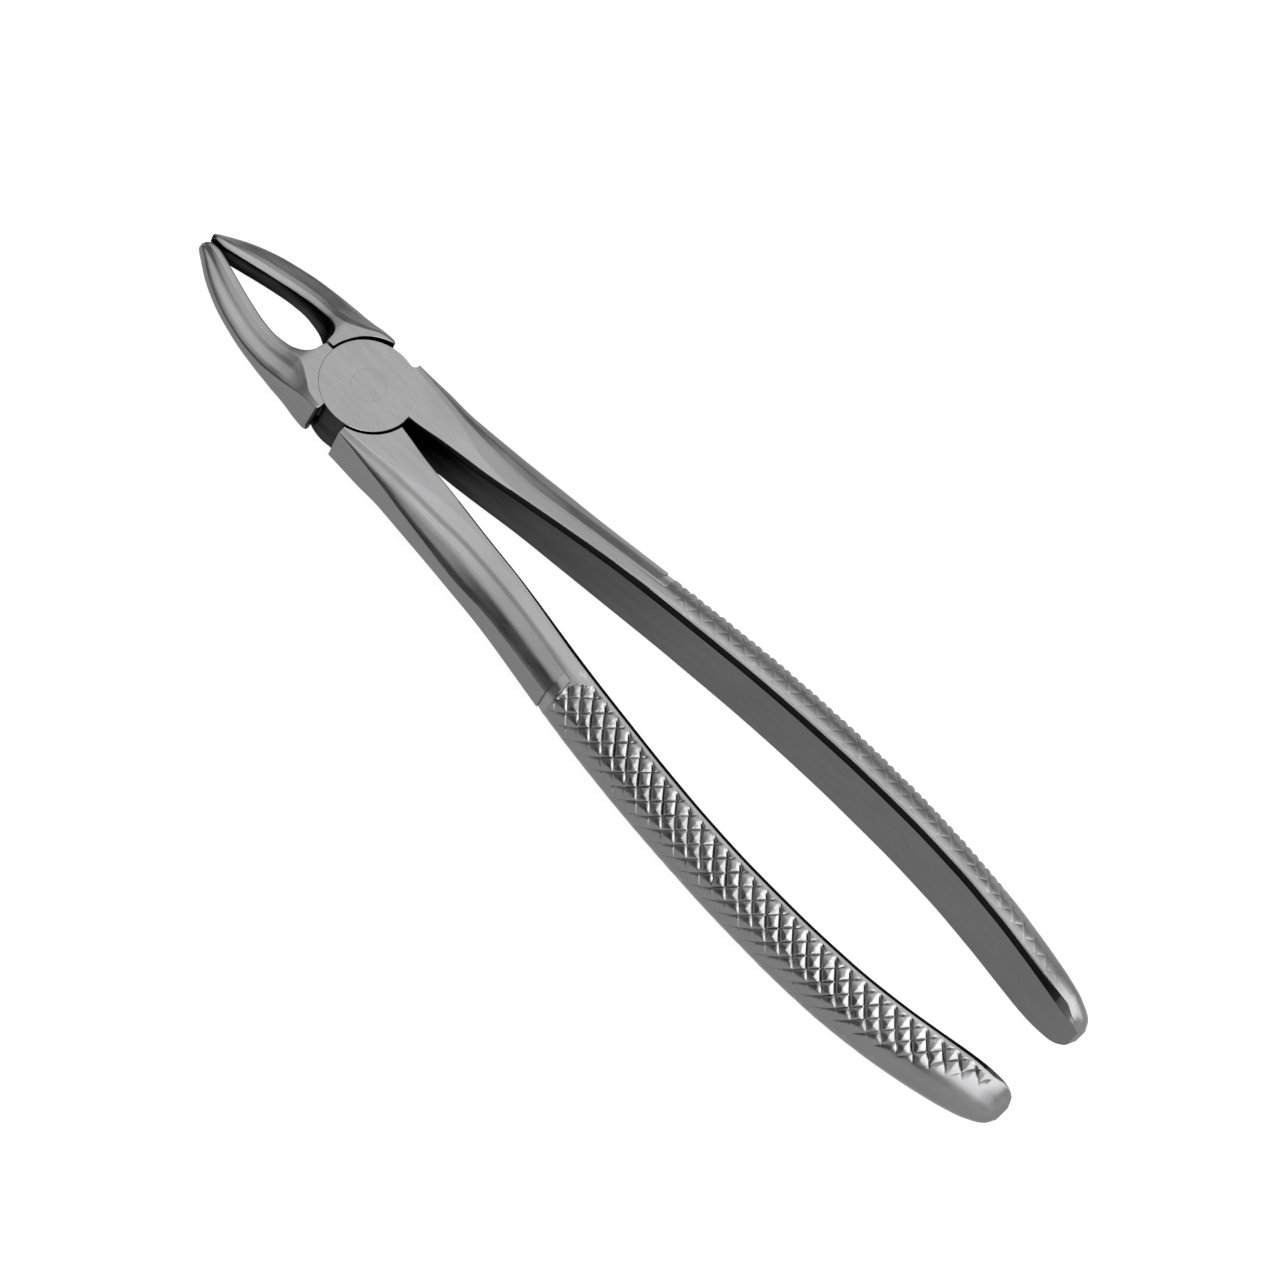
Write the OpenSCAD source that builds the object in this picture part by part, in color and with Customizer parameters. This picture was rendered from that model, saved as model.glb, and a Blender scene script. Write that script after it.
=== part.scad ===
// Dental extraction forceps, straight upper pattern: two forged levers on one flush rivet.
// +X runs along the closed tool towards the handle ends, the beaks point to -X.
// +Z is the pivot axis, towards the front lever. The origin is the centre of the rear joint face.

/* [Length] */
// Pivot axis to beak tip
beak_length = 33.4; // [31:0.2:36]
// Pivot axis to handle end
handle_length = 141.6; // [130:0.2:155]

/* [Joint] */
// Radius of the round lap disc on each lever
disc_radius = 7.6; // [7.2:0.1:8]
// Thickness of the closed joint, both lap discs together
joint_thickness = 8.6; // [8:0.1:9.4]
// Radius of the pivot rivet's shank
rivet_radius = 2; // [1.6:0.1:2.4]
// Depth of the rivet's cone heads
rivet_head_depth = 1.2; // [0.8:0.1:1.6]

/* [Spread] */
// Widest gap between the two handles, at mid grip
handle_gap = 23.4; // [21:0.2:27]
// Widest gap between the two beaks, behind the tips
beak_gap = 7.8; // [7:0.2:9]
// Width of the flat inner face of the grip, front to rear
grip_width = 13; // [11.5:0.1:14]

/* [Hidden] */

// Radial play between a lap disc and the shoulders of the other lever
recess_gap = 0.35;
// Play between the two lap faces
lap_gap = 0.04;
// Where the rear half of the front beak's shoulder stops short of the mid-line
shoulder_step = 0.55;
// Radial running play of the rear lever on the rivet
running_gap = 0.05;
// Radial interference of the rivet in the front lever
press = 0.01;
// Amount a cutting body runs past a face
over = 1;
// Spread of the rivet's cone heads
head_spread = 0.7;

half_joint = joint_thickness / 2;
flank_steps = 6;

steel = [0.62, 0.63, 0.64];
rivet_steel = [0.55, 0.56, 0.58];

// Handle stations from the joint to the end:
// [share of length, inner face, depth outwards, half height, ridge half height, roundness]
handle_rows = [
  [0.018, 0.40, 8.40, 4.30, 3.60, 0],
  [0.024, 0.45, 8.50, 4.30, 3.60, 0],
  [0.053, 0.75, 8.30, 4.30, 3.45, 0],
  [0.085, 1.45, 7.95, 4.20, 3.25, 0],
  [0.120, 2.20, 7.60, 4.12, 3.00, 0],
  [0.170, 3.36, 7.25, 4.15, 2.80, 0],
  [0.219, 4.45, 7.00, 4.60, 2.72, 0],
  [0.262, 5.45, 6.80, 5.02, 2.70, 0],
  [0.306, 6.50, 6.60, 5.38, 2.75, 0],
  [0.340, 7.25, 6.58, 5.58, 2.80, 0],
  [0.361, 7.70, 6.56, 5.68, 2.85, 0.1],
  [0.366, 7.80, 7.25, 5.72, 2.85, 1],
  [0.400, 8.50, 7.30, 5.84, 2.85, 1],
  [0.443, 9.30, 7.28, 5.95, 2.85, 1],
  [0.508, 10.35, 7.22, 6.02, 2.85, 1],
  [0.579, 11.15, 7.15, 6.10, 2.85, 1],
  [0.650, 11.60, 7.05, 6.28, 2.85, 1],
  [0.715, 11.70, 6.95, 6.42, 2.85, 1],
  [0.784, 11.32, 6.85, 6.50, 2.85, 1],
  [0.852, 10.30, 6.72, 6.48, 2.85, 1],
  [0.905, 9.10, 6.55, 6.28, 2.85, 1],
  [0.940, 8.15, 6.30, 5.95, 2.85, 1],
  [0.964, 7.65, 5.70, 5.25, 2.85, 1],
  [0.982, 7.60, 4.60, 4.15, 2.85, 1],
  [0.994, 7.90, 3.00, 2.70, 2.85, 1],
  [1.000, 8.50, 1.10, 1.10, 2.85, 1]
];

// Beak stations from the joint to the tip:
// [share of length, inner face, depth outwards, half height, ridge half height, hollow depth]
beak_rows = [
  [0.072, -0.30, 8.75, 4.10, 4.00, 0],
  [0.145, -0.30, 8.80, 4.10, 4.00, 0],
  [0.210, -0.30, 8.65, 4.10, 3.60, 0],
  [0.279, -0.30, 8.60, 4.00, 2.75, 0],
  [0.290, 0.90, 7.40, 3.90, 2.60, 0],
  [0.310, 1.95, 6.40, 3.70, 2.45, 0],
  [0.342, 2.85, 5.60, 3.30, 2.25, 0.10],
  [0.395, 3.60, 4.85, 2.75, 1.90, 0.30],
  [0.450, 3.88, 4.45, 2.45, 1.70, 0.45],
  [0.540, 3.60, 4.30, 2.15, 1.50, 0.60],
  [0.630, 2.98, 4.22, 2.08, 1.40, 0.70],
  [0.720, 2.20, 4.15, 2.12, 1.30, 0.75],
  [0.800, 1.45, 3.85, 2.16, 1.20, 0.75],
  [0.870, 0.80, 3.40, 2.10, 1.15, 0.70],
  [0.930, 0.35, 2.60, 1.85, 1.00, 0.55],
  [0.970, 0.22, 1.75, 1.45, 0.80, 0.30],
  [1.000, 0.25, 0.60, 0.80, 0.45, 0]
];

// Shank and beak flank, as [share of the way, share of depth] and [share of the way, share of drop]
flank_out = [[0, 0.06], [0.35, 0.42], [0.6, 0.68], [0.85, 0.96], [1, 1]];
flank_drop = [[0, 0], [0.35, 0.1], [0.6, 0.72], [0.85, 0.95], [1, 1]];

// Front half of a section, from the inner face to the outer face
function half_section(inner, depth, high, ridge, roundness, hollow) = [
  [inner + hollow, 0],
  [inner + hollow * 0.55, high * 0.45],
  [inner, high * 0.88],
  for (k = [0:flank_steps])
    let (
      t = k / flank_steps,
      turn = 90 * t * 0.9,
      flat_y = inner + depth * lookup(t, flank_out),
      flat_z = high - (high - ridge) * lookup(t, flank_drop),
      round_y = inner + depth * (0.06 + 0.94 * sin(turn)),
      round_z = high * cos(turn)
    )
    [flat_y + (round_y - flat_y) * roundness, flat_z + (round_z - flat_z) * roundness],
  [inner + depth * (1 + 0.012 * roundness), 0]
];

// Whole closed section: the front half, then its mirror image back to the inner face
function full_section(half) = concat(
  half,
  [for (k = [len(half) - 2:-1:1]) [half[k][0], -half[k][1]]]
);

// Mean of a list of section points
function middle(section) = [for (k = [0:1]) [for (p = section) p[k]] * [for (p = section) 1] / len(section)];

// Skin over a row of sections that all have the same number of points, closed by a fan at each end
module loft(stations, sections) {
  count = len(sections[0]);
  last = len(sections) - 1;
  centres = [for (i = [0, last]) concat([stations[i]], middle(sections[i]))];
  points = concat(
    [for (i = [0:last]) for (p = sections[i]) [stations[i], p[0], p[1]]],
    centres
  );
  first_centre = len(points) - 2;
  sides = [
    for (i = [0:last - 1])
      for (j = [0:count - 1])
        let (a = i * count + j, b = i * count + (j + 1) % count)
          each [[a, b, b + count], [a, b + count, a + count]]
  ];
  start_cap = [for (j = [0:count - 1]) [first_centre, (j + 1) % count, j]];
  end_cap = [
    for (j = [0:count - 1])
      [first_centre + 1, last * count + j, last * count + (j + 1) % count]
  ];
  polyhedron(points = points, faces = concat(sides, start_cap, end_cap), convexity = 8);
}

// Handle of the front lever, on the +Y side
module handle() {
  spread = handle_gap / 23.4;
  wide = grip_width / 13;
  stations = [for (r = handle_rows) r[0] * handle_length];
  sections = [
    for (r = handle_rows)
      full_section(half_section(r[1] * spread, r[2], r[3] * wide, r[4], r[5], 0))
  ];
  loft(stations, sections);
}

// Beak of the front lever, drawn in the handle's quadrant and turned half a turn about the pivot
module beak() {
  spread = beak_gap / 7.8;
  stations = [for (r = beak_rows) r[0] * beak_length];
  sections = [
    for (r = beak_rows)
      full_section(half_section(r[1] * spread, r[2], r[3], r[4], 0, r[5]))
  ];
  rotate([0, 0, 180])
    loft(stations, sections);
}

// Rivet outline grown by a radial play
module rivet_body(play, past) {
  radius = rivet_radius + play;
  spread = head_spread;
  cylinder(r = radius, h = joint_thickness + 2 * past, center = true, $fn = 64);
  for (side = [0, 180])
    rotate([side, 0, 0]) {
      translate([0, 0, half_joint - rivet_head_depth])
        cylinder(r1 = radius, r2 = radius + spread, h = rivet_head_depth, $fn = 64);
      if (past > 0)
        translate([0, 0, half_joint])
          cylinder(r = radius + spread, h = past, $fn = 64);
    }
}

// One lever about the joint's mid-plane, its lap disc on the +Z side
module lever(rivet_play) {
  difference() {
    union() {
      difference() {
        union() {
          handle();
          beak();
        }
        translate([0, 0, -half_joint - over])
          cylinder(r = disc_radius + recess_gap, h = half_joint + over + lap_gap / 2, $fn = 128);
        translate([-beak_length / 2, -shoulder_step, -half_joint - over])
          cube([beak_length / 2, 2 * shoulder_step, half_joint + over + lap_gap / 2]);
      }
      translate([0, 0, lap_gap / 2])
        cylinder(r = disc_radius, h = half_joint - lap_gap / 2, $fn = 128);
    }
    rivet_body(rivet_play, over);
  }
}

module lever_front() {
  color(steel)
    translate([0, 0, half_joint])
      lever(-press);
}

module lever_rear() {
  color(steel)
    translate([0, 0, half_joint])
      rotate([180, 0, 0])
        lever(running_gap);
}

module pivot_rivet() {
  color(rivet_steel)
    translate([0, 0, half_joint])
      rivet_body(0, 0);
}

lever_front();
lever_rear();
pivot_rivet();
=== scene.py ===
"""Dental extraction forceps: two forged steel levers on a flush rivet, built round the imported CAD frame."""

import math

import bmesh
import bpy
import numpy as np
from mathutils import Euler, Matrix, Vector


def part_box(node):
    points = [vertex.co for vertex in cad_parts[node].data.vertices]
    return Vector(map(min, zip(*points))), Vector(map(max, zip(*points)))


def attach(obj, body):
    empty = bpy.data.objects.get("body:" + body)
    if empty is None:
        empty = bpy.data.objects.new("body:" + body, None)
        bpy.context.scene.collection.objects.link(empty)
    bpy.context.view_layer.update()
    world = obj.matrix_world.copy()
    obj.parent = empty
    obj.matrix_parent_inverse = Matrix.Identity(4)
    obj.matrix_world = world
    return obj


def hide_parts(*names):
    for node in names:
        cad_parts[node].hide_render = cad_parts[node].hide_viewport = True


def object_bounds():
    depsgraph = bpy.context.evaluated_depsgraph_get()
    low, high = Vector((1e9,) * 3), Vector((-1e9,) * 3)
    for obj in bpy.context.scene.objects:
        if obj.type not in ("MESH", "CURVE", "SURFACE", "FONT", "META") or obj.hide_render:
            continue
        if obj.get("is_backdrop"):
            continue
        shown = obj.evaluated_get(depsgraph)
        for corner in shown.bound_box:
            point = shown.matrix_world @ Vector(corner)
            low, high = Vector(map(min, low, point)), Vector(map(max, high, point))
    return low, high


MM = 0.001
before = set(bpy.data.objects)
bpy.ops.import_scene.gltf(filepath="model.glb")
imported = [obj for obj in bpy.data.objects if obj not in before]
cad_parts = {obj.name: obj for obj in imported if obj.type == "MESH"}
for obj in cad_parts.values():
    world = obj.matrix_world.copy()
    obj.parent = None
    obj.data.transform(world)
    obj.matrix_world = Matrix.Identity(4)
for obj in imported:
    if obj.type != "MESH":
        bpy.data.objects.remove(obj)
cad_low, cad_high = (list(v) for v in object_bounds())

# ---------------------------------------------------------------- sizes, in mm, about the joint's mid-plane
lever_low, lever_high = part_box("lever_front")
BEAK_LENGTH = round(-lever_low[0] / MM, 2)
HANDLE_LENGTH = round(lever_high[0] / MM, 2)
HALF_JOINT = round(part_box("pivot_rivet")[1][2] / MM / 2, 2)
LAP = 0.01

DISC_R = 7.6
DISC_BEVEL = 0.07
RECESS_R = 8.0
RECESS_BEVEL = 0.12
RELIEF_R = 7.75
RELIEF_BEVEL = 0.1
RELIEF_SHIFT = -0.70
SHOULDER_STEP = 0.55
CUT_DEPTH = 6.0

RIVET_R = 2.0
RIVET_HEAD_R = 2.7
RIVET_HEAD_HEIGHT = 1.2
RIVET_GAP = 0.015

# where the handle and the beak begin, and where the handle's root meets the rest of it
HANDLE_START = 2.55
BEAK_START = 2.4
JOIN_X = 20.0

BAND_WIDTH = 1.6
BAND_DEPTH = 0.30
KNURL_END = 137.0
KNURL_DEPTH = 0.62
PITCH_ALONG = 2.78
PITCH_ROUND = 3.3

# width and depth of the edge bevels, for a bevel of 1
BEVEL_REACH, BEVEL_DROP = 0.80, 0.16
BEAK_BEVEL_REACH, BEAK_BEVEL_DROP = 0.66, 0.32

# mesh points: half a groove pitch is CELLS cells, and the outside's last FREE_POINTS lie off that grid
CELLS = 8
INNER_COUNT = 17
FLANK_COUNT = 48
FREE_POINTS = 8
CELL_ALONG = PITCH_ALONG / 2 / CELLS
CELL_ROUND = PITCH_ROUND / 2 / CELLS

# The two levers are ground by hand, so they differ a little:
#   knurl_start  where the knurl starts
#   phase        shift of its second groove family, in pitches
#   first        share of the first family's depth, by the distance round from the middle of the outside
#   second       share of the second family's depth
#   worn         share of both families' depth, by the distance round from the middle of the outside
#   scallop      depth of the nicks along the knurl's worn side
#   valley       share of the valley on the shank
#   flute        share of the flute on the beak
#   convex       share of the bulge on the beak
#   heel         lean of the beak's heel
#   bow          shift of the inner face at the shank
#   arch         shift of the inner face along the grip: amount, centre and width
#   end          shift of the inner and of the outer face at the handle's end
#   swell        extra depth along the grip: amount, centre and width
#   bevel        the polished bevel's width at 20, 36 and 50 mm, as a share
#   roll, lean   how much lower the edge of the bevel is, all along and on the grip
SHAPES = {
    "front": dict(
        knurl_start=52.0, phase=0.6875,
        first=([0], [1.0]),
        second=0.75,
        worn=([-4.5, 0.5], [0.13, 1.0]),
        scallop=0.30, valley=0.3, flute=1.0, convex=0.0, heel=0.05,
        bow=0.38, arch=(-0.12, 88.0, 22.0), end=(0.90, 0.90),
        swell=(0.45, 76.0, 28.0),
        bevel=(1.0, 1.2, 1.65), roll=0.06, lean=0.24,
    ),
    "rear": dict(
        knurl_start=53.2, phase=0.0,
        first=([-8.0, -6.0, 3.2, 5.0], [1.0, 0.25, 0.25, 1.0]),
        second=0.62,
        worn=([-8.0, -5.5, -1.5, 1.0, 3.5, 5.5], [1.0, 0.10, 0.10, 0.65, 0.80, 1.0]),
        scallop=0.0, valley=1.0, flute=0.2, convex=1.0, heel=0.0,
        bow=-0.33, arch=(0.42, 88.0, 22.0), end=(-1.10, -0.65),
        swell=(-0.60, 88.0, 22.0),
        bevel=(0.30, 0.36, 1.0), roll=0.0, lean=0.0,
    ),
}

# x, inner face, depth outwards, half height, edge bevel
HANDLE = np.array([
    [2.55, 0.40, 8.42, 4.30, 0.30],
    [8.00, 0.90, 8.33, 4.30, 0.30],
    [14.0, 1.85, 7.90, 4.22, 0.60],
    [20.0, 2.55, 7.95, 4.18, 0.90],
    [29.0, 4.02, 7.70, 4.48, 0.90],
    [38.0, 5.48, 7.02, 5.15, 0.80],
    [47.0, 6.98, 6.76, 5.62, 0.72],
    [51.5, 7.68, 6.72, 5.78, 0.70],
    [56.6, 8.40, 7.10, 5.93, 0.68],
    [62.7, 9.15, 7.10, 6.06, 0.68],
    [72.0, 10.18, 7.10, 6.18, 0.68],
    [82.0, 10.96, 7.10, 6.26, 0.68],
    [92.0, 11.42, 7.10, 6.40, 0.68],
    [101.3, 11.52, 7.10, 6.48, 0.68],
    [111.0, 11.20, 7.10, 6.50, 0.68],
    [120.7, 10.22, 7.10, 6.48, 0.68],
    [128.0, 9.02, 7.00, 6.32, 0.70],
    [133.0, 8.10, 6.60, 6.02, 0.80],
    [136.5, 7.60, 6.10, 5.50, 0.92],
    [139.0, 7.45, 5.20, 4.75, 0.35],
    [140.8, 7.70, 3.70, 3.30, 0.20],
    [141.6, 8.50, 1.50, 1.40, 0.15],
])
# outside of the shank, outwards from the inner face: x, crease, end of the flat, end of the ledge,
# the ledge's height, middle of the ridge, its height, half height of the side face
SHANK = np.array([
    [2.55, 7.30, 7.50, 8.30, 3.85, 8.40, 3.65, 3.45],
    [8.00, 6.25, 6.60, 7.85, 3.72, 8.15, 3.45, 3.20],
    [14.0, 4.40, 5.05, 6.75, 3.48, 7.45, 2.95, 2.40],
    [20.0, 2.30, 4.25, 6.15, 3.45, 7.30, 2.70, 2.10],
    [29.0, 1.00, 3.00, 5.25, 3.62, 6.85, 2.52, 1.55],
    [38.0, 1.00, 2.70, 5.15, 4.02, 6.45, 2.75, 2.00],
    [47.0, 1.00, 2.60, 5.20, 4.28, 6.25, 3.00, 2.28],
    [51.5, 1.00, 2.60, 5.20, 4.38, 6.20, 3.10, 2.40],
    [56.6, 1.00, 2.70, 5.60, 4.30, 6.65, 3.55, 3.10],
    [62.7, 1.00, 2.70, 5.60, 4.30, 6.65, 3.55, 3.10],
])
# x, depth of the convex grip, which stands proud of the shank's flat outer face
GRIP_DEPTH = np.array([
    [44.0, 7.00], [52.0, 7.05], [62.7, 7.12], [82.0, 7.10], [101.3, 7.05], [120.7, 6.80],
    [130.0, 6.62], [133.0, 6.45], [136.5, 5.95], [139.0, 5.10], [140.8, 3.70], [141.6, 1.50],
])
# distance out from the pivot, inner face, outer face, half height, ridge half height, end of the flat, hollow
BEAK = np.array([
    [2.40, -0.30, 8.32, 4.28, 3.92, 7.90, 0.0],
    [2.55, -0.30, 8.50, 4.28, 3.90, 7.95, 0.0],
    [3.00, -0.30, 8.66, 4.28, 3.88, 8.00, 0.0],
    [4.80, -0.30, 8.70, 4.28, 3.62, 7.65, 0.0],
    [7.00, -0.30, 8.80, 4.28, 2.85, 6.25, 0.0],
    [9.15, -0.30, 8.95, 4.23, 2.22, 5.00, 0.0],
    [9.25, 1.00, 8.96, 4.22, 2.20, 4.96, 0.0],
    [9.60, 2.20, 8.98, 4.17, 2.12, 4.86, 0.0],
    [10.3, 3.05, 9.02, 3.96, 1.96, 4.75, 0.1],
    [11.0, 3.48, 9.03, 3.72, 1.78, 4.72, 0.2],
    [12.6, 3.92, 9.03, 3.14, 1.44, 4.85, 0.35],
    [15.0, 4.00, 8.83, 2.54, 1.16, 4.98, 0.45],
    [18.0, 3.62, 8.43, 2.20, 0.98, 4.66, 0.60],
    [21.0, 2.95, 7.74, 2.10, 0.90, 4.02, 0.70],
    [24.0, 2.18, 6.86, 2.12, 0.88, 3.28, 0.75],
    [26.7, 1.42, 5.76, 2.16, 0.88, 2.52, 0.75],
    [29.0, 0.78, 4.60, 2.18, 0.86, 1.78, 0.70],
    [31.0, 0.36, 3.32, 2.12, 0.80, 1.21, 0.55],
    [32.3, 0.42, 2.42, 1.88, 0.74, 1.02, 0.30],
    [33.0, 0.70, 1.95, 1.50, 0.65, 1.10, 0.10],
    [33.4, 1.05, 1.65, 0.90, 0.42, 1.27, 0.0],
])
# the beak's slope from the flat to the ridge: share across, bulge when convex, share down when fluted
BEAK_SLOPE = [(0, 0, 0), (0.25, -0.11, 0.25), (0.42, -0.10, 0.50), (0.76, -0.05, 0.66), (0.97, 0.03, 1)]


# ---------------------------------------------------------------- curves
def smooth_table(table, x):
    """Monotone cubic curve through a table's rows, one column each, at every x."""
    xs, ys = table[:, 0], table[:, 1:]
    width = np.diff(xs)[:, None]
    slope = np.diff(ys, axis=0) / width
    tangent = np.zeros_like(ys)
    tangent[0], tangent[-1] = slope[0], slope[-1]
    weight0, weight1 = 2 * width[1:] + width[:-1], width[1:] + 2 * width[:-1]
    same_way = slope[:-1] * slope[1:] > 0
    slope0, slope1 = np.where(same_way, slope[:-1], 1), np.where(same_way, slope[1:], 1)
    mean = (weight0 + weight1) / (weight0 / slope0 + weight1 / slope1)
    tangent[1:-1] = np.where(same_way, mean, 0)
    x = np.clip(x, xs[0], xs[-1])
    i = np.clip(np.searchsorted(xs, x, side="right") - 1, 0, len(xs) - 2)
    t = ((x - xs[i]) / width[i, 0])[:, None]
    return (
        ys[i] * (1 + 2 * t) * (1 - t) ** 2
        + tangent[i] * width[i] * t * (1 - t) ** 2
        + ys[i + 1] * t * t * (3 - 2 * t)
        - tangent[i + 1] * width[i] * t * t * (1 - t)
    )


def step(x, low, high):
    """Rises smoothly from 0 at low to 1 at high."""
    t = np.clip((x - low) / (high - low), 0, 1)
    return t * t * (3 - 2 * t)


def hump(x, amount, centre, width):
    return amount * np.exp(-(((x - centre) / width) ** 2))


def rounded(keys, radii, arc, counts):
    """An open outline through key points: corner i is rounded by radii[i] with arc points, and the straight
    runs between corners take counts[i] points."""
    longest_cut = 0.45
    keys = [np.array(key, float) for key in keys]
    corners = []
    for i, key in enumerate(keys):
        if i in (0, len(keys) - 1) or radii[i] <= 0:
            corners.append([key])
            continue
        back, ahead = keys[i - 1] - key, keys[i + 1] - key
        back_length, ahead_length = np.linalg.norm(back), np.linalg.norm(ahead)
        back, ahead = back / back_length, ahead / ahead_length
        half_angle = math.acos(float(np.clip(back @ ahead, -1, 1))) / 2
        wanted = radii[i] / max(math.tan(half_angle), 1e-6)
        cut = min(wanted, longest_cut * back_length, longest_cut * ahead_length)
        start, end = key + back * cut, key + ahead * cut
        corners.append([
            (1 - t) ** 2 * start + 2 * t * (1 - t) * key + t * t * end for t in np.linspace(0, 1, arc)
        ])
    out = []
    for i, corner in enumerate(corners):
        out += corner
        if i + 1 < len(corners):
            start, end = corner[-1], corners[i + 1][0]
            out += [start + (end - start) * (k + 1) / (counts[i] + 1) for k in range(counts[i])]
    return np.array(out)


# ---------------------------------------------------------------- sections, as (y outwards, z) points
def inner_half(inner, high, bevel, reach, drop, hollow=0.0):
    """Front half of the inner face, from its middle to the outer edge of the polished bevel."""
    edge = high - drop * bevel - 0.03
    keys = [(inner, 0), (inner, edge), (inner + reach * bevel + 0.05, high), (inner + 3.0, high)]
    half = rounded(keys, [0, 0.15, 0.15, 0], 5, [5, 1, 1])[:INNER_COUNT]
    half[:, 0] += hollow * np.clip(1 - (half[:, 1] / edge) ** 2, 0, 1)
    return half


def shank_flank(start, inner, depth, high, row, valley):
    """Front half of the outside of a shank, from a row of SHANK: flat with a soft crease, a small step, the
    ledge, the round ridge and the side face."""
    crease, flat_end, ledge_end, ledge_z, ridge_mid, ridge_z, side = row
    crease = max(crease, start[0] - inner + 0.12)
    edge_z = high - 0.03 - 0.11 * max(flat_end - crease, 0)
    valley_z = edge_z - valley * 0.85 * min(0.42, edge_z - ledge_z)
    keys = [
        start,
        (inner + crease, high - 0.01),
        (inner + flat_end, edge_z),
        (inner + flat_end + 0.65, valley_z),
        (inner + ledge_end, ledge_z),
        (inner + ridge_mid, ridge_z),
        (inner + depth, side),
        (inner + depth + 0.05, 0),
    ]
    return rounded(keys, [0, 1.5, 1.0, 1.0, 2.4, 2.4, 1.2, 0], 5, [2, 2, 3, 3, 2, 3, 2])[1:]


def beak_flank(start, outer, high, ridge, flat, convex, flute):
    """Front half of the outside of a beak: flat, slope, ridge and outer face; the slope is straight, convex
    or hollowed by a flute."""
    rest, drop = outer - flat, high - 0.02 - ridge
    keys = [start]
    for across, bulge, fluted in BEAK_SLOPE:
        down = across + convex * bulge
        down += flute * (fluted - down)
        keys.append((flat + across * rest, high - 0.02 - down * drop))
    keys.append((outer + 0.05, 0))
    return rounded(keys, [0, 0.7, 1.6, 1.6, 1.6, 1.2, 0], 6, [2, 3, 3, 3, 3, 3])[1:]


def grip_flank(start, inner, depth, high):
    """Front half of the outside of the convex grip, its points a fixed arc apart from the middle outwards."""
    angle = np.linspace(math.pi / 2, 0, 160)
    line = np.column_stack([start[0] + (inner + depth - start[0]) * np.sin(angle), high * np.cos(angle)])
    arc = np.concatenate([[0], np.cumsum(np.linalg.norm(np.diff(line, axis=0), axis=1))])
    fixed = FLANK_COUNT - FREE_POINTS
    cell = min(CELL_ROUND, 0.94 * arc[-1] / fixed)
    wanted = np.arange(FLANK_COUNT) * cell
    extra = np.arange(1, FREE_POINTS) / FREE_POINTS
    wanted[fixed + 1 :] = fixed * cell + extra * (arc[-1] - fixed * cell)
    flank = np.column_stack([np.interp(wanted, arc, line[:, 0]), np.interp(wanted, arc, line[:, 1])])
    return flank[::-1]


def full_ring(half):
    """A whole section from its front half, mirrored to the rear."""
    mirror = half[-2:0:-1] * [1, -1]
    return np.vstack([half, mirror])


def ring_points(xs, rings):
    return np.concatenate([np.broadcast_to(xs[:, None, None], rings.shape[:2] + (1,)), rings], 2)


# ---------------------------------------------------------------- meshes
def mesh_object(name, verts, faces):
    mesh = bpy.data.meshes.new(name)
    mesh.from_pydata([tuple(v) for v in verts], [], faces)
    mesh.update()
    obj = bpy.data.objects.new(name, mesh)
    bpy.context.scene.collection.objects.link(obj)
    return obj


def skin_faces(rows, n):
    """Quads between rows of n points, each row closed round the body."""
    return [
        (i * n + j, i * n + n + j, i * n + n + (j + 1) % n, i * n + (j + 1) % n)
        for i in range(rows - 1)
        for j in range(n)
    ]


def end_cap(rows, n):
    return tuple(range(rows * n - 1, rows * n - n - 1, -1))


def loft(name, points):
    """Closed skin over rows of points, each row once round the body."""
    rows, n = points.shape[:2]
    faces = skin_faces(rows, n) + [tuple(range(n)), end_cap(rows, n)]
    return mesh_object(name, points.reshape(-1, 3), faces)


def lathe(name, outline, segments=160, centre=(0, 0)):
    """Closed solid of revolution about Z from (radius, z) points, the first and last on the axis."""
    verts, faces, rows = [], [], []
    for radius, z in outline:
        if radius < 1e-9:
            rows.append([len(verts)])
            verts.append((centre[0], centre[1], z))
            continue
        rows.append(list(range(len(verts), len(verts) + segments)))
        for k in range(segments):
            angle = 2 * math.pi * k / segments
            verts.append((centre[0] + radius * math.cos(angle), centre[1] + radius * math.sin(angle), z))
    for lower, upper in zip(rows, rows[1:]):
        for k in range(segments):
            n = (k + 1) % segments
            if len(lower) == 1:
                faces.append((lower[0], upper[n], upper[k]))
            elif len(upper) == 1:
                faces.append((lower[k], lower[n], upper[0]))
            else:
                faces.append((lower[k], lower[n], upper[n], upper[k]))
    return mesh_object(name, verts, faces)


def prism(name, outline, low, high):
    n = len(outline)
    verts = [(x, y, low) for x, y in outline] + [(x, y, high) for x, y in outline]
    faces = [tuple(range(n - 1, -1, -1)), tuple(range(n, 2 * n))]
    faces += [(k, (k + 1) % n, n + (k + 1) % n, n + k) for k in range(n)]
    return mesh_object(name, verts, faces)


def combine(target, other, operation):
    """Joins other to target, or cuts it out, and removes other."""
    boolean = target.modifiers.new("cut", "BOOLEAN")
    boolean.operation = operation
    boolean.solver = "EXACT"
    boolean.object = other
    graph = bpy.context.evaluated_depsgraph_get()
    mesh = bpy.data.meshes.new_from_object(target.evaluated_get(graph))
    target.modifiers.clear()
    target.data = mesh
    bpy.data.objects.remove(other)


# ---------------------------------------------------------------- handle with its knurled grip
def handle_table(xs, shape):
    """The handle's rows at every x, with the lever's own small deviations, and its extra depth there."""
    rows = smooth_table(HANDLE, xs)
    tail = np.clip((xs - 110) / (HANDLE_LENGTH - 110), 0, None) ** 2
    inner = hump(xs, shape["bow"], 36, 15) + hump(xs, *shape["arch"]) + shape["end"][0] * tail
    deeper = hump(xs, *shape["swell"]) + (shape["end"][1] - shape["end"][0]) * tail
    rows[:, 0] += inner * step(xs, 4, 14)
    deeper *= step(xs, 20, 50)
    rows[:, 3] *= np.interp(xs, [20, 36, 50], shape["bevel"])
    return rows, deeper


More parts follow.
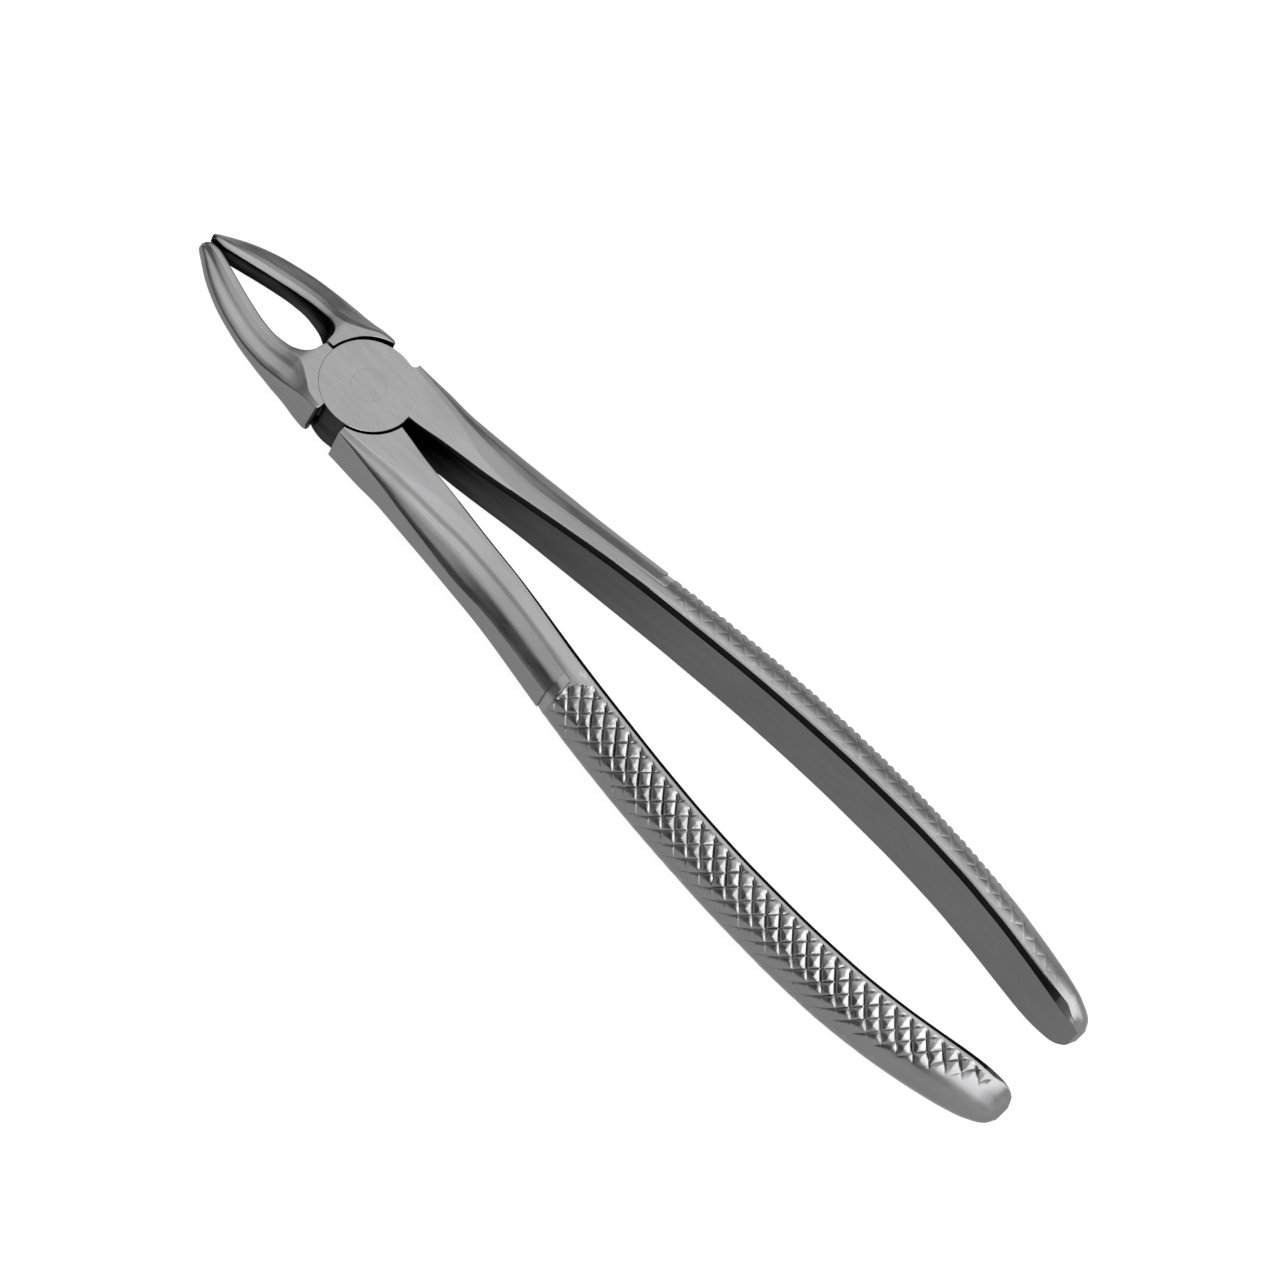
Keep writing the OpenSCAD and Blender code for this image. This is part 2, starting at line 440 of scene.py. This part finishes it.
def handle_rings(xs, shape):
    """The handle's sections: near its edges the shank's outline turns into the grip's over 16 mm, and further
    round at once, where the knurl starts."""
    knurl_start = shape["knurl_start"]
    band_start = knurl_start - BAND_WIDTH
    rows, deeper = handle_table(xs, shape)
    rows[:, 1] += deeper
    grip = smooth_table(GRIP_DEPTH, xs)[:, 0] + deeper
    share = np.linspace(0, 1, FLANK_COUNT + 1)[1:]
    abrupt, banded = step(share, 0.22, 0.42), step(share, 0.36, 0.46)
    rings = []
    for x, (inner, depth, high, bevel), shank_row, grip_depth in zip(xs, rows, smooth_table(SHANK, xs), grip):
        slow = float(step(x, 44.0, 60.0))
        sudden = float(step(x, knurl_start - 0.1, knurl_start))
        lean = shape["lean"] * slow
        inside = inner_half(inner, high - shape["roll"] - lean, bevel, BEVEL_REACH, BEVEL_DROP)
        shank = shank_flank(inside[-1], inner, depth, high, shank_row, shape["valley"])
        grip_line = grip_flank(inside[-1], inner, grip_depth, high)
        flank = shank + (grip_line - shank) * (slow * (1 - abrupt) + sudden * abrupt)[:, None]
        band = float(step(x, band_start - 0.02, band_start + 0.02)) * (1 - sudden)
        flank[:, 0] -= BAND_DEPTH * band * banded
        flank[:, 1] -= lean * np.clip(1 - (flank[:, 0] - inside[-1][0]) / 1.3, 0, 1) ** 1.5
        rings.append(full_ring(np.vstack([inside, flank])))
    return np.array(rings)


def grip_stations(knurl_start):
    """x of each station, a fixed arc apart along the middle of the outside, from the knurl's start to its
    end."""
    x = np.linspace(knurl_start, KNURL_END + 2, 4000)
    y = smooth_table(HANDLE, x)[:, 0] + smooth_table(GRIP_DEPTH, x)[:, 0]
    arc = np.concatenate([[0], np.cumsum(np.hypot(np.diff(x), np.diff(y)))])
    count = int(arc[np.searchsorted(x, KNURL_END)] / CELL_ALONG)
    return np.interp(np.arange(count) * CELL_ALONG, arc, x)


def outward(points):
    """Unit normals of a grid of points whose rows close round the body."""
    along = np.gradient(points, axis=0)
    around = np.roll(points, -1, 1) - np.roll(points, 1, 1)
    normal = np.cross(along, around)
    return normal / np.maximum(np.linalg.norm(normal, axis=2, keepdims=True), 1e-9)


def knurl(points, xs, shape, front):
    """Pushes the grip's outside in along two crossing families of V grooves."""
    rows, count = points.shape[:2]
    middle = INNER_COUNT + FLANK_COUNT - 1
    length = np.cumsum(np.linalg.norm(points - np.roll(points, 1, 1), axis=2), 1)
    off_middle = length - length[:, middle : middle + 1]
    room = -off_middle[:, INNER_COUNT - 1][:, None] - np.abs(off_middle)
    i = np.arange(rows)[:, None]
    j = (np.arange(count) - middle)[None, :]

    # height left by each family, from 0 in a groove to 1 on a crest, and a size of its own for every diamond
    waves = [(i + j) / (2 * CELLS), (i - j) / (2 * CELLS) + shape["phase"]]
    saws = [1 - 2 * np.abs(w - np.floor(w) - 0.5) for w in waves]
    crest1, crest2 = (0.42 * np.minimum(saw / 0.22, 1) + 0.58 * saw for saw in saws)
    one, two = (np.floor(w) for w in waves)
    cell = 1 + 0.17 * np.sin(2.4 * one + 4.1 * two + 1.3 * one * two)
    height1 = 1 - np.interp(off_middle, *shape["first"]) * (1 - crest1)
    height2 = 1 - shape["second"] * (1 - crest2)
    top = 0.97
    height = np.minimum(np.minimum(height1, height2) * cell, top)

    # the knurl fades at the bevels, at its start, towards the handle's end and where it is worn
    edge = step(room, 0.35, 1.0) * (np.abs(j) <= FLANK_COUNT)
    late = 2.4 * (1 - step(room, 0.6, 3.2))
    start = step(xs[:, None] - late, xs[0] + 0.15, xs[0] + 0.6)
    front_side = points[:, :, 2] > 0
    slanted_x = xs[:, None] + 2.6 * (room - 3) + 6 * front * front_side
    end = 1 - step(slanted_x, KNURL_END - 9, KNURL_END - 0.5)
    strength = edge * start * end * np.interp(off_middle, *shape["worn"])
    nick = np.abs((i / CELLS) % 1 - 0.5) * 2
    nick = shape["scallop"] * nick**3 * hump(off_middle, 1, -3.0, 2.0) * start * end
    return points - outward(points) * (KNURL_DEPTH * (top - height) * strength + nick)[:, :, None]


def knurl_faces(first_row, rows, n, phase):
    """Triangles whose diagonals follow the grooves, so that each facet is flat."""
    middle = INNER_COUNT + FLANK_COUNT - 1
    faces = []
    for i in range(rows - 1):
        for k in range(n):
            a = (first_row + i) * n + k
            b = (first_row + i) * n + (k + 1) % n
            if abs(k + 0.5 - middle) > FLANK_COUNT:
                faces.append((a, a + n, b + n, b))
                continue
            j = k - middle
            wave1, wave2 = (i + j + 1) / (2 * CELLS), (i - j) / (2 * CELLS) + phase
            if abs(wave1 - round(wave1)) <= abs(wave2 - round(wave2)):
                faces += [(a, a + n, b), (a + n, b + n, b)]
            else:
                faces += [(a, a + n, b + n), (a, b + n, b)]
    return faces


def build_handle(side):
    """The handle from JOIN_X to its end, open at JOIN_X."""
    shape = SHAPES[side]
    knurl_start = shape["knurl_start"]
    band_start = knurl_start - BAND_WIDTH
    n = 2 * (INNER_COUNT + FLANK_COUNT) - 2
    plain_x = np.concatenate([
        np.linspace(JOIN_X, 43.5, 46),
        np.linspace(44.0, band_start - 0.2, 14),
        [band_start - 0.02, band_start + 0.02],
        np.linspace(band_start + 0.2, knurl_start - 0.1, 9),
    ])
    grip_x = grip_stations(knurl_start)
    end_x = grip_x[-1] + (HANDLE_LENGTH - grip_x[-1]) * np.sin(np.linspace(0, math.pi / 2, 26))[1:]
    xs = np.concatenate([plain_x, grip_x, end_x])
    grid = ring_points(xs, handle_rings(xs, shape))
    first, last = len(plain_x), len(plain_x) + len(grip_x) - 1
    grid[first : last + 1] = knurl(grid[first : last + 1], grip_x, shape, side == "front")
    faces = skin_faces(first + 1, n)
    faces += knurl_faces(first, len(grip_x), n, shape["phase"])
    faces += [tuple(v + last * n for v in face) for face in skin_faces(len(xs) - last, n)]
    faces.append(end_cap(len(xs), n))
    return mesh_object("handle", grid.reshape(-1, 3), faces)


# ---------------------------------------------------------------- root of the handle, beak and joint
def build_root(shape):
    xs = np.concatenate([[HANDLE_START, 2.7], np.linspace(3.0, JOIN_X, 35)])
    return loft("root", ring_points(xs, handle_rings(xs, shape)))


def build_beak(shape):
    """The beak, which points to -X on the -Y side."""
    xs = np.concatenate([
        [BEAK_START, 2.45, 2.5, 2.6, 2.75, 3.0],
        np.linspace(3.5, 8.6, 11),
        np.linspace(9.0, 12.0, 16),
        np.linspace(12.4, 30.0, 45),
        np.linspace(30.3, BEAK_LENGTH, 22),
    ])
    rings = []
    for x, (inner, outer, high, ridge, flat, hollow) in zip(xs, smooth_table(BEAK, xs)):
        bevel = 0.35 * min(1.0, (outer - inner) / 3.0)
        inside = inner_half(inner, high - 0.08, bevel, BEAK_BEVEL_REACH, BEAK_BEVEL_DROP, hollow)
        flute = shape["flute"] * float(step(x, 7.0, 14.0))
        outside = beak_flank(inside[-1], outer, high, ridge, flat, shape["convex"], flute)
        rings.append(full_ring(np.vstack([inside, outside])))
    points = ring_points(xs, np.array(rings)) * [-1, -1, 1]
    points[:, :, 0] += shape["heel"] * points[:, :, 2] * (1 - step(-points[:, :, 0], 2.5, 5.0))
    return loft("beak", points)


def pocket(name, radius, bevel, top, centre=(0, 0)):
    """Cutter for the round pocket behind the lap plane, bevelled at the rear joint face."""
    outline = [
        (0, -CUT_DEPTH), (radius + bevel, -CUT_DEPTH), (radius + bevel, -HALF_JOINT),
        (radius, bevel - HALF_JOINT), (radius, top), (0, top),
    ]
    return lathe(name, outline, centre=centre)


def build_disc():
    """The lap disc, its flat face in a few rings."""
    outline = [(0, LAP), (DISC_R, LAP), (DISC_R, HALF_JOINT - DISC_BEVEL), (DISC_R - DISC_BEVEL, HALF_JOINT)]
    return lathe("disc", outline + [(radius, HALF_JOINT) for radius in (6.4, 5.1, 3.8, 0)])


def fillet_outline(end_x, radius):
    """Web between the lap disc and a shoulder's end face at end_x, both beside the notch."""
    centre_x = end_x - radius
    centre_y = math.sqrt((DISC_R + radius) ** 2 - centre_x * centre_x)
    start = math.atan2(-centre_y, -centre_x)
    points = [
        (centre_x + radius * math.cos(start * (1 - t)), centre_y + radius * math.sin(start * (1 - t)))
        for t in np.linspace(0, 1, 10)
    ]
    return points + [(end_x + 0.4, centre_y), (end_x + 0.4, 5.5), (0.4 * end_x, 5.5)]


def build_bore():
    """Cutter for the rivet's hole, with a cone at each joint face."""
    hole, head = RIVET_R + RIVET_GAP, RIVET_HEAD_R + RIVET_GAP
    outline = [
        (0, -CUT_DEPTH), (head, -CUT_DEPTH), (head, -HALF_JOINT), (hole, RIVET_HEAD_HEIGHT - HALF_JOINT),
        (hole, HALF_JOINT - RIVET_HEAD_HEIGHT), (head, HALF_JOINT), (head, CUT_DEPTH), (0, CUT_DEPTH),
    ]
    return lathe("bore", outline, 96)


def build_head(side):
    """Root of the handle, beak and lap joint in one solid."""
    shape = SHAPES[side]
    head = build_root(shape)
    combine(head, build_beak(shape), "UNION")
    combine(head, pocket("recess", RECESS_R, RECESS_BEVEL, LAP), "DIFFERENCE")
    if side == "rear":
        relief = pocket("relief", RELIEF_R, RELIEF_BEVEL, LAP - 0.02, (0, RELIEF_SHIFT))
        combine(head, relief, "DIFFERENCE")
    shoulder = [(-12, -SHOULDER_STEP), (-5, -SHOULDER_STEP), (-5, 3), (-12, 3)]
    combine(head, prism("shoulder", shoulder, -CUT_DEPTH, LAP), "DIFFERENCE")
    combine(head, build_disc(), "UNION")
    web = fillet_outline(HANDLE_START, 0.8)
    combine(head, prism("web", web[::-1], LAP + 0.01, HALF_JOINT - 0.06), "UNION")
    web = [(-x, -y) for x, y in fillet_outline(BEAK_START, 0.25)]
    combine(head, prism("web", web[::-1], LAP + 0.01, HALF_JOINT - 0.1), "UNION")
    combine(head, build_bore(), "DIFFERENCE")
    return head


# ---------------------------------------------------------------- one lever
def sew(head, handle):
    """Joins the handle to the head at JOIN_X."""
    bm = bmesh.new()
    bm.from_mesh(head.data)
    cap = [f for f in bm.faces if all(abs(v.co.x - JOIN_X) < 1e-3 for v in f.verts)]
    bmesh.ops.delete(bm, geom=cap, context="FACES_ONLY")
    bm.from_mesh(handle.data)
    seam = [v for v in bm.verts if abs(v.co.x - JOIN_X) < 1e-3]
    bmesh.ops.remove_doubles(bm, verts=seam, dist=2e-3)
    bmesh.ops.triangulate(bm, faces=[f for f in bm.faces if len(f.verts) > 4])
    loose = [v for v in bm.verts if not v.link_faces]
    bmesh.ops.delete(bm, geom=loose, context="VERTS")
    bm.to_mesh(head.data)
    bm.free()
    bpy.data.objects.remove(handle)


def sharpen(mesh, degrees):
    """Smooth shading, but flat on the joint face and broken at edges sharper than the given angle."""
    bm = bmesh.new()
    bm.from_mesh(mesh)
    limit = math.radians(degrees)
    for face in bm.faces:
        face.smooth = not (face.normal.z > 0.99999 and face.calc_center_median().z > HALF_JOINT - 0.01)
    for edge in bm.edges:
        edge.smooth = not (len(edge.link_faces) == 2 and edge.calc_face_angle(0) > limit)
    bm.to_mesh(mesh)
    bm.free()


def face_values(mesh, name):
    """A vector of each face, such as its centre, as three arrays."""
    values = np.zeros(len(mesh.polygons) * 3)
    mesh.polygons.foreach_get(name, values)
    return values.reshape(-1, 3).T


def mark_finish_and_shade(mesh, shape):
    """Gives each face its finish: 0 satin or 1 the bevel, whose near-black colour is a painted dark
    reflection; and a value dark, mostly painted shade where above 0 and a painted highlight where below 0.
    A face counts as a wall when its normal lies well off Z."""
    x, y, z = face_values(mesh, "center")
    nx, ny, nz = np.abs(face_values(mesh, "normal"))
    towards_y = face_values(mesh, "normal")[1]
    from_pivot = np.hypot(x, y)
    dark = np.zeros(len(x))

    # the handle's inner face, with painted shade that is darkest near the joint, and the polished bevel along
    # both its edges, painted near black as a dark reflection
    inner, _, high, bevel = handle_table(x, shape)[0].T
    high -= (shape["roll"] + shape["lean"]) * step(x, 44, 60)
    handle = (x > 2.6) & (y > 0)
    inside = handle & (y < inner + BEVEL_REACH * bevel + 0.10)
    strip = inside & (np.abs(z) > high - BEVEL_DROP * bevel - 0.10) & (nz < 0.992) & (ny < 0.97)
    strip &= (z > 0) | (x > 22)
    face = inside & (towards_y < -0.75) & ~strip
    dark[face] = np.interp(x[face], [8, 14, 29, 47, 62, 120, 141], [1.0, 0.97, 0.72, 0.56, 0.38, 0.26, 0.26])

    # painted shade on the hollow jaws, the walls round the joint and in the notch
    beak_inner, _, beak_high, _, _, hollow = smooth_table(BEAK, -x).T
    wall = nz < 0.75
    jaw = (x < -8.6) & (np.abs(y) < beak_inner + hollow + 0.3) & wall & (np.abs(z) < beak_high - 0.05)
    dark[jaw] = 0.95
    steep = nz < 0.6
    rim = (from_pivot < 8.4) & steep & (x < 7.9)
    dark[rim] = 0.8
    notch = (np.abs(x) < 2.8) & (from_pivot > 7.0) & ((nx > 0.35) | ((from_pivot < 8.35) & steep))
    dark[notch] = 0.82

    # towards the rounded end, faces that look along Z get darker and the bevel's painted dark reflection
    # fades out; the band before the knurl gets a painted highlight
    outside = handle & ~inside
    tip = np.interp(x, [126, 133, 139.5, 141.6], [0, 0.26, 0.38, 0.2]) * step(nz, 0.55, 0.85)
    dark[outside] = tip[outside]
    # the bevel's painted dark reflection fades out near the end, carried on by painted shade on satin
    fading = strip & (x > 135.5)
    dark[fading] = np.interp(x[fading], [135.5, 138.5, 140.5], [1.0, 0.92, 0.0])
    start = shape["knurl_start"]
    band = (x > start - BAND_WIDTH) & (x < start) & (y > inner + 2.9)
    # painted highlight: a value below 0 lightens the band
    dark[band] = -0.22

    # material 1 goes on the strip: the bevel with the painted dark reflection
    mesh.polygons.foreach_set("material_index", (strip & ~fading).astype(np.int32))
    layer = mesh.attributes.new("dark", "FLOAT", "FACE")
    layer.data.foreach_set("value", dark.astype(np.float32))


def build_lever(side, name):
    """One lever in its place: the rear one is the front one turned half a turn about the long axis."""
    lever = build_head(side)
    sew(lever, build_handle(side))
    sharpen(lever.data, 21)
    mark_finish_and_shade(lever.data, SHAPES[side])
    lever.data.materials.append(satin)
    lever.data.materials.append(painted_reflection)
    turn = Matrix.Rotation(math.pi, 4, "X") if side == "rear" else Matrix.Identity(4)
    move = Matrix.Translation((0, 0, HALF_JOINT * MM)) @ Matrix.Scale(MM, 4)
    lever.data.transform(move @ turn)
    lever.name = name
    lever.data.name = name
    return lever


# ---------------------------------------------------------------- materials
class Graph:
    """A short way to build a node tree."""

    def __init__(self, tree):
        self.tree = tree

    def node(self, kind, inputs=None, **settings):
        made = self.tree.nodes.new(kind)
        for key, value in settings.items():
            setattr(made, key, value)
        for key, value in (inputs or {}).items():
            self.feed(made.inputs[key], value)
        return made

    def feed(self, socket, value):
        if isinstance(value, bpy.types.NodeSocket):
            self.tree.links.new(value, socket)
        else:
            socket.default_value = value

    def math(self, operation, a, b=0.0):
        return self.node("ShaderNodeMath", {0: a, 1: b}, operation=operation).outputs[0]

    def ramp(self, value, low, high, to_low=0.0, to_high=1.0):
        return self.node(
            "ShaderNodeMapRange",
            {"Value": value, "From Min": low, "From Max": high, "To Min": to_low, "To Max": to_high},
            interpolation_type="SMOOTHSTEP",
        ).outputs["Result"]

    def noise(self, vector, scale, detail, rough=0.55, stretch=(1.0, 1.0, 1.0)):
        stretched = self.node("ShaderNodeMapping", {"Vector": vector, "Scale": stretch}).outputs[0]
        inputs = {"Vector": stretched, "Scale": scale, "Detail": detail, "Roughness": rough}
        return self.node("ShaderNodeTexNoise", inputs).outputs[0]


# reflectance of the painted shade, and where the grip's look sets in, in metres
PAINTED_SHADE_LEVEL = 0.012
GRIP_X = (0.0495, 0.0505)


def steel(name, base, rough, grain, bump, edge_tint=1.0):
    """Ground steel of the given reflectance and roughness, with cloudy tone, fine lines along X and specks.
    On the grip its crests are brighter and its grooves get painted shade. The face attribute "dark" paints
    streaky shade into it, and a painted highlight where it is below 0."""
    material = bpy.data.materials.new(name)
    material.use_nodes = True
    g = Graph(material.node_tree)
    shader = material.node_tree.nodes["Principled BSDF"]
    where = g.node("ShaderNodeTexCoord").outputs["Object"]
    cloud = g.noise(where, 110, 3)
    brushed = g.noise(where, 900, 2, 0.6, (0.16, 1.0, 1.0))
    speck = g.noise(where, 5200, 2, 0.7)
    tone = g.ramp(cloud, 0.3, 0.7, 1 - grain, 1 + grain)
    tone = g.math("ADD", tone, g.ramp(brushed, 0.3, 0.7, -grain, grain))
    tone = g.math("ADD", tone, g.ramp(speck, 0.3, 0.7, -0.6 * grain, 0.6 * grain))

    along = g.node("ShaderNodeSeparateXYZ", {0: where}).outputs[0]
    on_grip = g.ramp(along, *GRIP_X)
    pointed = g.node("ShaderNodeNewGeometry").outputs["Pointiness"]
    crest = g.math("MULTIPLY", g.ramp(pointed, 0.52, 0.60, 0, 0.25), on_grip)
    # painted shade in the grip's grooves, where pointiness is low
    groove_shade = g.math("MULTIPLY", g.ramp(pointed, 0.47, 0.40, 0, 0.6), on_grip)
    tone = g.math("SUBTRACT", g.math("ADD", tone, crest), groove_shade)

    # painted shade from the attribute dark: it darkens the colour and the edge tint, and below 0 it paints a
    # highlight
    dark = g.node("ShaderNodeAttribute", attribute_name="dark").outputs["Fac"]
    streak = g.ramp(g.noise(where, 420, 3, 0.6, (0.08, 1.0, 1.0)), 0.3, 0.75, 0.6, 2.2)
    lit = g.math("MULTIPLY", g.math("MULTIPLY", tone, base), g.math("SUBTRACT", 1.0, dark))
    dim = g.math("MULTIPLY", g.math("MULTIPLY", streak, PAINTED_SHADE_LEVEL), dark)
    level = g.math("ADD", lit, dim)
    bluish = g.math("MULTIPLY", level, 1.015)
    colour = g.node("ShaderNodeCombineColor", {0: level, 1: level, 2: bluish}).outputs[0]
    tint = g.math("MULTIPLY", g.math("SUBTRACT", 1.0, g.math("MULTIPLY", dark, 0.6)), edge_tint)
    uneven = g.ramp(cloud, 0.3, 0.7, rough - 0.03, rough + 0.03)
    uneven = g.math("ADD", uneven, g.ramp(brushed, 0.3, 0.7, -0.025, 0.025))
    height = g.math("ADD", g.math("MULTIPLY", brushed, 0.7), g.math("MULTIPLY", speck, 0.3))
    relief = g.node("ShaderNodeBump", {"Height": height, "Strength": bump, "Distance": 0.0002}).outputs[0]
    g.feed(shader.inputs["Base Color"], colour)
    g.feed(shader.inputs["Metallic"], 1.0)
    g.feed(shader.inputs["Specular Tint"], tint)
    g.feed(shader.inputs["Roughness"], uneven)
    g.feed(shader.inputs["Normal"], relief)
    return material


satin = steel("satin_steel", base=0.178, rough=0.28, grain=0.035, bump=0.1, edge_tint=0.7)
# the bevel's near-black colour is a painted dark reflection
painted_reflection = steel("painted_reflection_bevel", base=0.004, rough=0.14, grain=0.1, bump=0.03, edge_tint=0.02)
riveted = steel("rivet_steel", base=0.175, rough=0.30, grain=0.05, bump=0.12)

front = build_lever("front", "front_lever_steel")
rear = build_lever("rear", "rear_lever_steel")
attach(front, "front_lever")
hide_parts("lever_front")
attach(rear, "rear_lever")
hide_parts("lever_rear")
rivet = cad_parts["pivot_rivet"]
rivet.data.materials.clear()
rivet.data.materials.append(riveted)

# ---------------------------------------------------------------- floor, light and camera
FLOOR_Z = cad_low[2] - 0.00005
FLOOR_HALF = 3
FLOOR_GLOW = 0.93
floor = mesh_object(
    "floor",
    [(x * FLOOR_HALF, y * FLOOR_HALF, FLOOR_Z) for x, y in ((-1, -1), (1, -1), (1, 1), (-1, 1))],
    [(0, 1, 2, 3)],
)
paint = bpy.data.materials.new("floor")
paint.use_nodes = True
shader = paint.node_tree.nodes["Principled BSDF"]
shader.inputs["Base Color"].default_value = (0.06, 0.06, 0.06, 1)
shader.inputs["Roughness"].default_value = 0.9
shader.inputs["Emission Color"].default_value = (1, 1, 1, 1)
shader.inputs["Emission Strength"].default_value = FLOOR_GLOW
floor.data.materials.append(paint)
floor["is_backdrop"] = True

# soft studio light, in lobes: direction, cosines where the lobe starts and where it is full, brightness
LOBES = [
    ((0.0, 0.12, 1.0), 0.38, 0.86, 1.62),  # the tent overhead
    ((1.0, 0.0, 0.0), 0.08, 0.40, 5.00),  # a bright ring round +X
    ((1.0, 0.0, 0.0), 0.64, 0.84, -3.60),  # the dimmer middle of that ring
    ((0.35, -0.93, -0.10), 0.78, 0.93, -3.80),  # a black flag on the -Y side
    ((-0.60, 0.30, 0.75), 0.75, 0.95, 0.42),  # a softer light over the beaks
    ((-0.10, 0.22, 0.97), 0.955, 0.995, 0.90),  # a small lamp near the top
    ((-0.75, -0.62, 0.20), 0.85, 0.97, 0.35),  # fill from the beaks' side
    ((0.0, 1.0, 0.10), 0.55, 0.95, 0.42),  # fill from +Y
]
AMBIENT = 0.05
world = bpy.data.worlds.new("studio")
bpy.context.scene.world = world
world.use_nodes = True
g = Graph(world.node_tree)
direction = g.node("ShaderNodeTexCoord").outputs["Generated"]
total = 0.0
for axis, start, full, bright in LOBES:
    axis = tuple(Vector(axis).normalized())
    dot = g.node("ShaderNodeVectorMath", {0: direction, 1: axis}, operation="DOT_PRODUCT").outputs["Value"]
    total = g.math("ADD", g.ramp(dot, start, full, 0.0, bright), total)
background = world.node_tree.nodes["Background"]
g.feed(background.inputs["Color"], (1, 1, 1, 1))
g.feed(background.inputs["Strength"], g.math("MAXIMUM", total, AMBIENT))

# a long lens, 0.8 m away along the view and about 28 degrees off the pivot axis: its place in mm from the
# joint's middle, its turns about X, Y and Z in degrees, its focal length and sensor in mm
CAMERA_PLACE = (145.21, -363.52, 699.83)
CAMERA_TURNS = (24.4236, -15.0321, 43.5521)
LENS, SENSOR = 151.459, 36
camera = bpy.data.objects.new("camera", bpy.data.cameras.new("camera"))
bpy.context.scene.collection.objects.link(camera)
place = (Vector(CAMERA_PLACE) + Vector((0, 0, HALF_JOINT))) * MM
turns = Euler([math.radians(a) for a in CAMERA_TURNS])
camera.matrix_world = Matrix.Translation(place) @ turns.to_matrix().to_4x4()
camera.data.sensor_width = SENSOR
camera.data.lens = LENS
camera.data.clip_start = 0.05
camera.data.clip_end = 10
bpy.context.scene.camera = camera
bpy.context.scene.view_settings.view_transform = "Standard"
